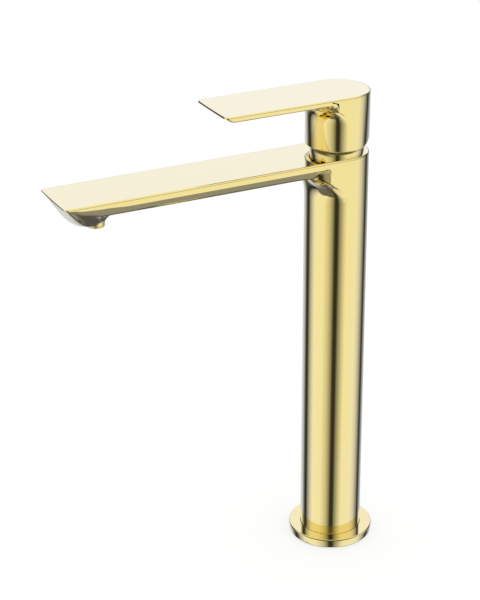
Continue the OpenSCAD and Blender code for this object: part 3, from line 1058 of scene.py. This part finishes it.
# the lever from its tip, along the plate and down the hub
LEVER_STATIONS = (
    Station((17.1, -86.05, 310.2), (17.0, -86.05, 310.2), (16.9, -86.05, 310.2), (-86.2, 310.2)),
    Station((18.45, -85.5, 310.1), (18.2, -85.1, 309.8), (17.8, -84.5, 309.2), (-84.9, 309.2)),
    Station((19.55, -84.4, 309.9), (19.1, -84.0, 309.2), (18.3, -83.2, 308.5), (-83.4, 308.3)),
    Station((19.95, -82.9, 309.7), (19.5, -82.7, 308.6), (18.5, -82.2, 307.9), (-81.6, 307.7)),
    Station((19.95, -81.0, 309.5), (19.6, -80.9, 308.1), (18.7, -80.6, 307.4), (-79.6, 307.3)),
    Station((19.95, -78.0, 309.4), (19.65, -78.0, 307.95), (18.8, -78.0, 307.2), (-77.0, 307.2)),
    *[across(y, (19.95, 309.4), (19.65, 307.95), (18.8, 307.2), 307.2) for y in (-60.0, -40.0)],
    Station((19.95, -28.0, 309.4), (19.65, -28.0, 307.95), (18.8, -28.5, 307.2), (-29.5, 307.2)),
    Station((19.97, -18.0, 309.4), (19.6, -19.0, 307.9), (18.6, -20.5, 307.2), (-27.5, 307.1)),
    Station((20.0, -12.5, 309.3), (19.5, -14.6, 307.7), (18.4, -16.6, 306.8), (-25.8, 306.6)),
    Station((20.0, -10.4, 308.6), (19.5, -12.2, 306.9), (18.8, -13.6, 305.7), (-24.2, 305.9)),
    Station((20.0, -10.1, 306.6), (19.7, -11.2, 305.2), (19.3, -12.0, 304.4), (-22.9, 305.0)),
    Station((20.0, -10.0, 304.6), (19.87, -10.4, 303.9), (19.7, -10.8, 303.4), (-22.1, 304.3)),
    joined(-9.5, 302.7, -21.5, 303.4),
    joined(-7.4, 301.4, -20.9, 301.9),
    joined(-5.0, 299.9, -20.45, 300.3),
    joined(-2.9, 298.2, -20.15, 298.5),
    joined(-1.2, 296.4, -20.03, 296.5),
    joined(0.0, 294.4, -20.0, 294.4),
)


@dataclass(frozen=True)
class Spout(Arm):
    """The spout: thin edge, leaning keel, a nose that narrows to the outlet, and the head."""

    tongue: Tongue = Tongue(half_w=POST_R, reach=188.5, corner_r=3.0, bow_r=900.0)
    stations: tuple[Station, ...] = SPOUT_STATIONS
    straight: int = 16
    top: float = BODY_TOP
    head_low: float = HEAD_LOW
    bore_r: float = NECK_R + 0.05
    inner_round: float = 1.0
    keel_round: float = 2.4
    rim_round: float = 1.15
    nose_end: int = 14  # the station at which the nose runs out
    nose_low: float = 252.3
    nose_levels: int = 30
    outlet_bore_r: float = 4.0
    outlet_depth: float = 6.0
    belly: float = 1.4
    # turns from the tip round the outlet, in radians: the belly fades, the hollow sets in
    belly_fade: Flat = (0.0, 1.05)
    hollow_fade: Flat = (0.85, 2.2)
    nose_share: float = 0.8  # of the way up the nose: what the keel's rounding runs toward
    flat_fade: Flat = (4.5, 1.5)  # stations before nose_end, where that gives way

    @property
    def wall_points(self) -> int:
        """Number of a section's points from the edge to the end of the keel's rounding."""
        return self.edge_steps + self.inner_steps + self.wall_steps + self.keel_steps + 1

    def nose(self, end: Vector, share: float) -> Vector:
        """A point of the nose on the way from the outlet's ring to a point of its rim.

        Args:
            end: the point of the rim.
            share: 0 at the ring, 1 at the rim.

        Returns:
            The point: bellied in front, straight at the sides and hollow behind.
        """
        away = end.y - OUTLET_Y
        turn, far = math.atan2(end.x, -away), math.hypot(end.x, away)
        full = share ** (1 + self.belly * (1 - smooth_step(*self.belly_fade, abs(turn))))
        hollow = math.sqrt(1 - (1 - share) ** 2)
        back = smooth_step(*self.hollow_fade, abs(turn))
        rise = full * (1 - back) + hollow * back
        rho = OUTLET_R + (far - OUTLET_R) * share
        return Vector((rho * math.sin(turn), OUTLET_Y - rho * math.cos(turn),
                       self.nose_low + (end.z - self.nose_low) * rise))

    def _below(self, t: float, keel: Vector, low: list[Vector]) -> Vector:
        """Finds the point that the surface leaves the keel's corner for.

        Args:
            t: place along the arm, counted in stations from the tip.
            keel: the keel's corner.
            low: the underside from that corner to the middle.

        Returns:
            A point down the nose, or across the underside behind it.
        """
        if not 0 < t < self.nose_end:
            return low[self.ahead]
        first, last = (self.nose_end - before for before in self.flat_fade)
        flat = smooth_step(first, last, t)
        return self.nose(keel, self.nose_share).lerp(low[self.ahead], flat)

    def _underside(self, bm: Shell, sections: list[list[Vector]]) -> None:
        """Adds the underside behind the nose, the keel's walls beside it, and the nose.

        Args:
            bm: the mesh that receives them.
            sections: the sections from the tip to the post.
        """
        end, last = self.nose_end * self.row_steps, self.wall_points - 1
        self.sheet(bm, sections[end:])

        def wall(u: float, v: float, side: int) -> Point:
            """A point of the wall; u runs down it, v from the tip to the post."""
            p = sections[round(v * end)][round(u * last)]
            return side * p.x, p.y, p.z

        for side in (-1, 1):
            skin(bm, last, end, lambda u, v, side=side: wall(u, v, side))
        half = ([*reversed(sections[0][last:])] + [row[last] for row in sections[1:end]]
                + sections[end][last:])
        mirror = Matrix.Diagonal((-1, 1, 1))
        loop = half + [mirror @ p for p in reversed(half[1:-1])] + [half[0]]
        around, levels = len(loop) - 1, self.nose_levels
        skin(bm, around, levels, lambda u, v: tuple(
            self.nose(loop[round(u * around)], round(v * levels) / levels)))

    def _outlet(self, bm: Shell) -> None:
        """Turns the nose in to the outlet's bore and closes it inside.

        Args:
            bm: the mesh.
        """
        axis, within = Vector((0, OUTLET_Y, 0)), OUTLET_R + 0.01

        def to_bore(point: Vector, z: float) -> Vector:
            """The point moved in to the bore."""
            flat = Vector((point.x, point.y, 0)) - axis
            return axis + flat.normalized() * self.outlet_bore_r + Vector((0, 0, z))

        edges = [e for e in bm.edges if e.is_boundary
                 and all((v.co.xy - axis.xy).length < within for v in e.verts)]
        for z in (self.nose_low, self.nose_low + self.outlet_depth):
            edges = self.draw_out(bm, edges, lambda p, z=z: to_bore(p, z))
        bmesh.ops.holes_fill(bm, edges=edges, sides=0)

    def _head(self, bm: Shell) -> None:
        """Closes the outlet, and the head round the neck's hole and against the column.

        Args:
            bm: the mesh.
        """
        self._outlet(bm)
        self._round_back(bm)
        lower = self.draw_out(bm, self._open_edges(bm, False), lambda p: radial(p, self.bore_r))
        self.draw_out(bm, lower, lambda p: radial(p, self.bore_r, self.top))
        bmesh.ops.remove_doubles(bm, verts=bm.verts, dist=MERGE)
        bmesh.ops.triangle_fill(bm, edges=self._open_edges(bm, True), use_beauty=True)

    def build(self, finishes: Finishes) -> None:
        """Makes the spout, with the column's head."""
        piece("spout_skin", self.shell(), Body.BODY, finishes[Slot.GOLD], ["spout"])


@dataclass(frozen=True)
class Lever(Arm):
    """The lever: a flat plate that grows out of the hub."""

    tongue: Tongue = Tongue(half_w=POST_R, reach=86.2, corner_r=3.0, bow_r=600.0)
    stations: tuple[Station, ...] = LEVER_STATIONS
    straight: int = 7
    top: float = LEVER_TOP
    head_low: float = LEVER_TOP - 1.9
    bore_r: float = 17.4
    inner_round: float = 0.8
    keel_round: float = 1.0
    rim_round: float = 1.0
    hub_low: float = 276.5
    cut_y: float = 7.6  # where the hub's lower edge starts to slope up
    cut_slope: float = 0.4663  # the tangent of 25 degrees, the lever's lift
    foot_steps: int = 3
    cavity_top: float = 305.9
    socket_r: float = 7.5
    socket_low: float = 290.0

    def _foot(self, point: Vector) -> float:
        """Height of the hub's lower edge under a point."""
        return self.hub_low + max(0.0, point.y - self.cut_y) * self.cut_slope

    def _head(self, bm: Shell) -> None:
        """Closes the plate's top and draws the hub down to its hollow and its socket.

        Args:
            bm: the mesh.
        """
        self._round_back(bm)
        top, r = self._open_edges(bm, True), self.rim_round

        def hub_edge(point: Vector, inset: float, rise: float) -> Vector:
            """The point moved to the hub's lower edge, in and up by its rounding."""
            foot = self._foot(radial(point, POST_R))
            return radial(point, POST_R - inset, 0) + Vector((0, 0, foot + rise))

        for inset, rise in arc((r, r), r, 180, 270, self.foot_steps):
            self.draw_out(bm, self._open_edges(bm, False),
                          lambda p, inset=inset, rise=rise: hub_edge(p, inset, rise))
            bmesh.ops.remove_doubles(bm, verts=bm.verts, dist=MERGE)
        edges = self.draw_out(bm, self._open_edges(bm, False), lambda p: radial(p, self.bore_r))
        self.draw_out(bm, edges, lambda p: radial(p, self.bore_r, self.cavity_top))
        bmesh.ops.remove_doubles(bm, verts=bm.verts, dist=MERGE)
        bmesh.ops.triangle_fill(bm, edges=[e for e in top if e.is_valid], use_beauty=True)
        bmesh.ops.holes_fill(bm, edges=[e for e in bm.edges if e.is_boundary], sides=0)
        ceiling = max(bm.faces, key=lambda f: len(f.verts))
        bmesh.ops.inset_region(bm, faces=[ceiling], thickness=self.bore_r - self.socket_r)
        post = bmesh.ops.extrude_discrete_faces(bm, faces=[ceiling])["faces"]
        bmesh.ops.translate(bm, verts=list({v for f in post for v in f.verts}),
                            vec=(0, 0, self.socket_low - self.cavity_top))

    def build(self, finishes: Finishes) -> None:
        """Makes the lever and its hub."""
        piece("lever_skin", self.shell(), Body.HANDLE, finishes[Slot.GOLD], ["lever"])


@dataclass(frozen=True)
class Column:
    """The column's tube, its base flange and the neck that the hub turns on."""

    tube_bore_r: float = 17.5
    tube_low: float = 0.8
    tube_round: float = 0.3
    flange_r: float = 27.7
    flange_low: float = 0.5
    flange_top: float = 6.5
    flange_gap: float = 0.14
    flange_foot: Flat = (0.9, 0.6)  # how far its foot and its lower corner stand in
    flange_bevel: Flat = (0.9, 0.25)  # the upper corner's height and width
    flange_foot_z: float = 0.9
    flange_rounds: tuple[float, ...] = (0, 0.2, 0.2, 0.5, 0.4, 0.15)
    neck_wall: float = 1.4
    neck_hole_r: float = 13.0
    neck_depth: float = 1.0
    dome_r: float = 19.2
    pivot_z: float = 268.0
    steps: int = 256
    neck_steps: int = 192
    dome_steps: tuple[int, int] = (16, 12)

    def tube(self) -> Shell:
        """The column's tube, up to the spout's head."""
        corners = [(self.tube_bore_r, self.tube_low), (POST_R, self.tube_low),
                   (POST_R, HEAD_LOW), (self.tube_bore_r, HEAD_LOW)]
        return revolve(rounded(corners, [0, self.tube_round, 0, 0]), self.steps)

    def flange(self) -> Shell:
        """Makes the base flange: a set-in foot, a side that leans out and a soft rim.

        Returns:
            The mesh.
        """
        bore, r, top = POST_R + self.flange_gap, self.flange_r, self.flange_top
        foot, lean = self.flange_foot
        drop, inset = self.flange_bevel
        corners = [(bore, self.flange_low), (r - foot, self.flange_low),
                   (r - lean, self.flange_foot_z), (r, top - drop), (r - inset, top), (bore, top)]
        return revolve(rounded(corners, self.flange_rounds), self.steps)

    def neck(self) -> Shell:
        """Makes the neck cover: a round wall with a ball-shaped crown.

        Returns:
            The mesh.
        """
        low, wall_r = BODY_TOP - self.neck_depth, NECK_R - self.neck_wall

        def crown(radius: float, start_r: float, end_r: float, steps: int) -> list[Flat]:
            """The ball's line between two distances from the axis."""
            start, end = (math.degrees(math.acos(r / radius)) for r in (start_r, end_r))
            return arc((0, self.pivot_z), radius, start, end, steps)

        outer = crown(self.dome_r, NECK_R, self.neck_hole_r, self.dome_steps[0])
        inner = crown(self.dome_r - self.neck_wall, self.neck_hole_r, wall_r, self.dome_steps[1])
        return revolve([(NECK_R, low), *outer, *inner, (wall_r, low)], self.neck_steps)

    def build(self, finishes: Finishes) -> None:
        """Makes its three pieces.

        Args:
            finishes: the materials.
        """
        for name, bm, node in (("column_skin", self.tube(), "column"),
                               ("flange_skin", self.flange(), "base_flange"),
                               ("neck_skin", self.neck(), "neck_cover")):
            piece(name, bm, Body.BODY, finishes[Slot.GOLD], [node])


@dataclass(frozen=True)
class OutletRing:
    """The gold ring in the nose, which holds the aerator."""

    low: float = 250.8
    lip_r: float = 3.2
    mouth_r: float = 3.5
    mouth_bevel: float = 0.25
    lip_h: float = 1.0
    ring_h: float = 1.5
    sleeve_r: float = 3.95
    sleeve_bore_r: float = 3.8
    sleeve_h: float = 5.9
    rounds: tuple[float, ...] = (0, 0.1, 0.35, 0.15, 0, 0, 0, 0, 0)
    steps: int = 128

    def build(self, finishes: Finishes) -> None:
        """Makes the ring.

        Args:
            finishes: the materials.
        """
        low, lip, ring, top = (self.low + h for h in (0.0, self.lip_h, self.ring_h, self.sleeve_h))
        corners = [
            (self.lip_r, low + self.mouth_bevel), (self.mouth_r, low), (OUTLET_R, low),
            (OUTLET_R, ring), (self.sleeve_r, ring), (self.sleeve_r, top),
            (self.sleeve_bore_r, top), (self.sleeve_bore_r, lip), (self.lip_r, lip),
        ]
        bm = revolve(rounded(corners, self.rounds), self.steps, (0.0, OUTLET_Y))
        piece("outlet_ring", bm, Body.BODY, finishes.satin, ["aerator_collar"])


@dataclass(frozen=True)
class ScrewCap:
    """The domed cap over the set screw, at the back of the hub."""

    r: float = 3.05
    z: float = 296.0
    depth: float = 1.2
    edge_proud: float = 0.12  # how far its edge and its middle stand out of the hub
    dome_proud: float = 0.3
    edge_round: float = 0.25
    steps: int = 64

    def build(self, finishes: Finishes) -> None:
        """Makes the cap.

        Args:
            finishes: the materials.
        """
        bottom = (self.r, POST_R - self.depth)
        dome = rounded([bottom, (self.r, POST_R + self.edge_proud),
                        (0.0, POST_R + self.dome_proud)], [0, self.edge_round, 0])
        bm = revolve([(0.0, bottom[1]), bottom, *dome[1:]], self.steps)
        turned = Matrix.Rotation(math.radians(-90), 4, "X")
        placed = Matrix.Translation((0, 0, self.z)) @ turned
        bmesh.ops.transform(bm, matrix=placed, verts=bm.verts)
        piece("cap_skin", bm, Body.HANDLE, finishes[Slot.GOLD], ["screw_cap"])


@dataclass(frozen=True)
class HiddenParts:
    """The parts inside the column and under the deck, which keep their CAD meshes."""

    dressed: tuple[tuple[Slot, tuple[str, ...]], ...] = (
        (Slot.RUBBER, ("flange_ring", "base_gasket", "port_seals", "housing_ring",
                       "aerator_seal", "fixing_washer")),
        (Slot.BRASS, ("base_plug", "valve_block", "stem", "cartridge_nut", "stud_nuts")),
        (Slot.COPPER, ("hot_tube", "cold_tube")),
        (Slot.BLACK, ("cartridge_base", "disc_carrier", "stop_ring")),
        (Slot.WHITE, ("cartridge_housing", "turn_guide", "aerator_insert")),
        (Slot.CERAMIC, ("fixed_disc", "moving_disc")),
        (Slot.STEEL, ("pivot_pin", "set_screw", "studs", "fixing_plate")),
    )

    def build(self, finishes: Finishes) -> None:
        """Gives each part its finish.

        Args:
            finishes: the materials.
        """
        for slot, names in self.dressed:
            for name in names:
                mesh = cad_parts[name].data
                mesh.materials.clear()
                mesh.materials.append(finishes[slot])
                LOG.info("%s: dressed in %s", name, slot.value)


def main() -> None:
    """Builds and dresses everything, sub-assembly by sub-assembly."""
    logging.basicConfig(level=logging.INFO, format="%(name)s %(message)s")
    Studio().build()
    finishes = Finishes()
    for part in (Column(), Spout(), Lever(), OutletRing(), ScrewCap(), HiddenParts()):
        part.build(finishes)


if __name__ == "__main__":
    main()
